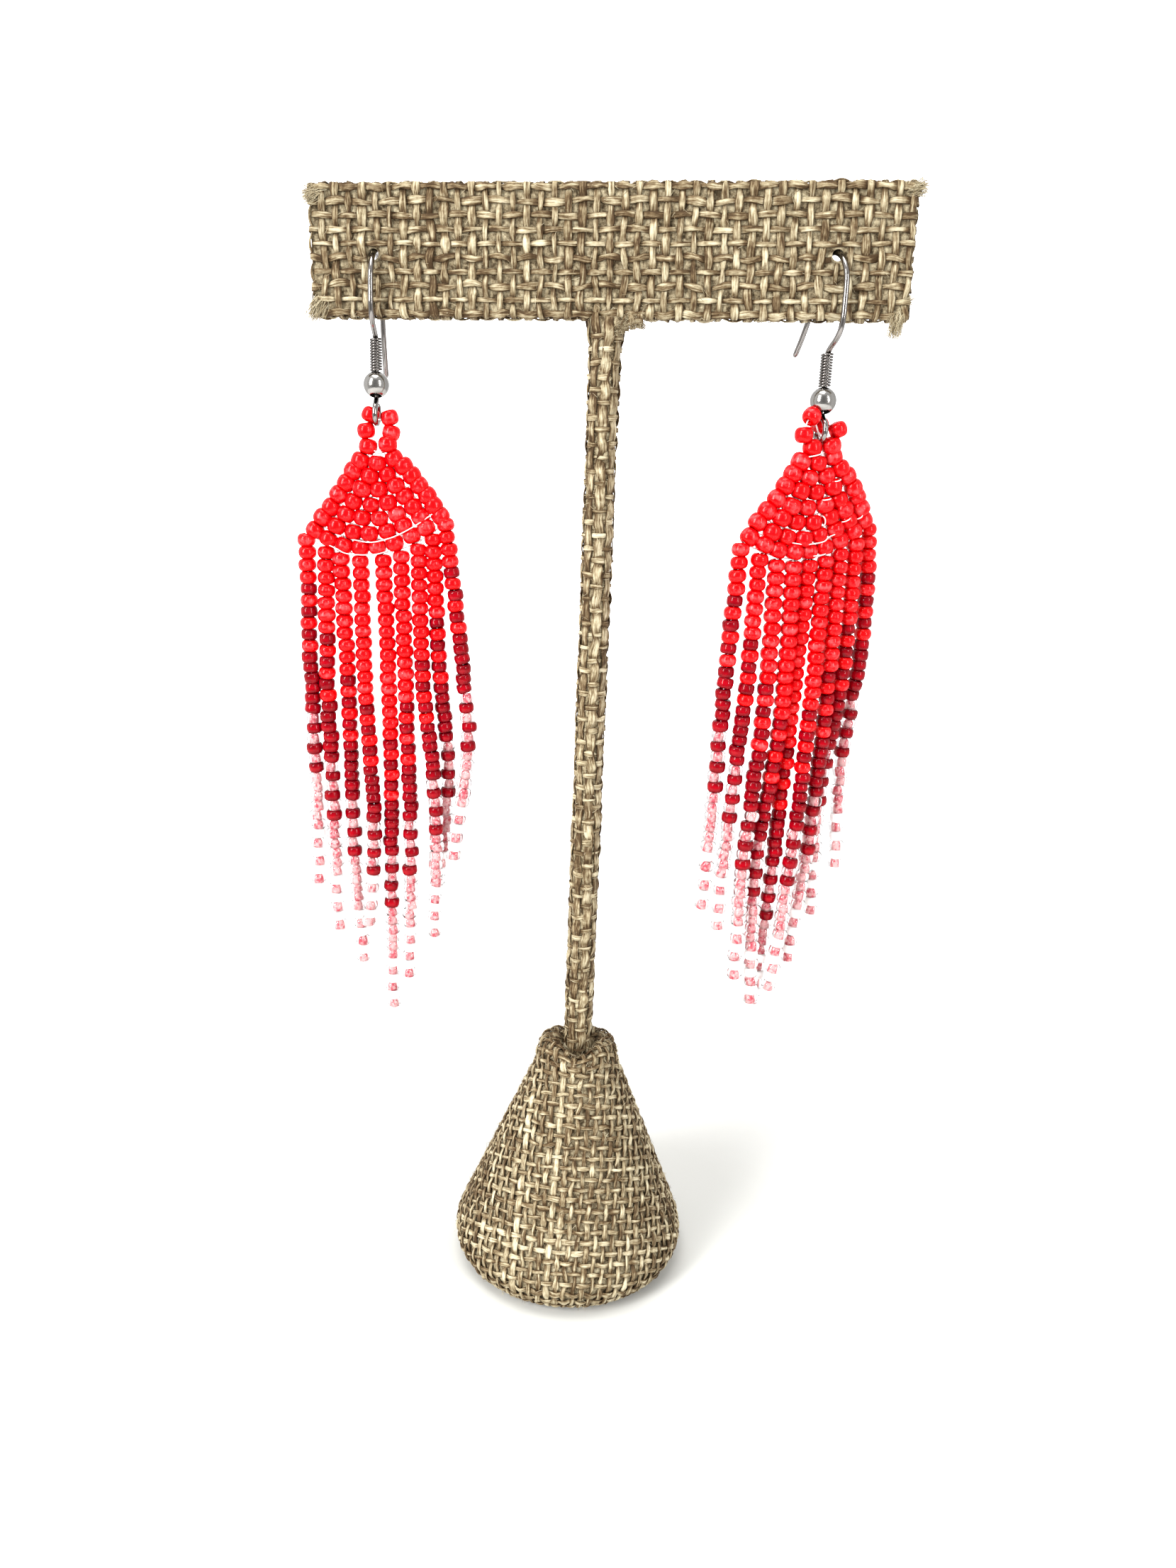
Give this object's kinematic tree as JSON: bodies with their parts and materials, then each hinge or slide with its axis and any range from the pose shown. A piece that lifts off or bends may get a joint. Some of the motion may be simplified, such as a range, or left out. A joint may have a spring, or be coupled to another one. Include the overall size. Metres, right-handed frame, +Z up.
{
  "type": "pair of beaded fringe earrings on a burlap display stand",
  "caption": "Pair of seed-bead fringe earrings, a bead fan with hanging strings fading from coral to dark red to pink, on hook ear wires in a small burlap T-bar stand with a cone base.",
  "frame": {"origin": "centre of the round underside of the stand's cone base, on the floor", "axes": "+Z up along the stem; +X along the crossbar to the right as seen from the front; +Y from the front to the back"},
  "size_m": [0.077, 0.0352, 0.1516],
  "materials": {
    "burlap": "open plain weave of coarse natural yarn, matte",
    "ear_wire_steel": "polished wire, slightly dull",
    "ball_steel": "polished",
    "coral_beads": "opaque glass seed beads, soft gloss",
    "string_beads": "seed beads in coral, clear dark red, lined pink and white, glossy"
  },
  "bodies": {
    "root": {"stand_base": "burlap", "stand_stem": "burlap", "stand_crossbar": "burlap", "left_ear_wire": "ear_wire_steel", "left_coil": "ear_wire_steel", "left_ball": "ball_steel", "left_bead_loop": "coral_beads", "left_bead_fan": "coral_beads", "left_string_1": "string_beads", "left_string_2": "string_beads", "left_string_3": "string_beads", "left_string_4": "string_beads", "left_string_5": "string_beads", "left_string_6": "string_beads", "left_string_7": "string_beads", "left_string_8": "string_beads", "left_string_9": "string_beads", "right_ear_wire": "ear_wire_steel", "right_coil": "ear_wire_steel", "right_ball": "ball_steel", "right_bead_loop": "coral_beads", "right_bead_fan": "coral_beads", "right_string_1": "string_beads", "right_string_2": "string_beads", "right_string_3": "string_beads", "right_string_4": "string_beads", "right_string_5": "string_beads", "right_string_6": "string_beads", "right_string_7": "string_beads", "right_string_8": "string_beads", "right_string_9": "string_beads"}
  },
  "joints": []
}
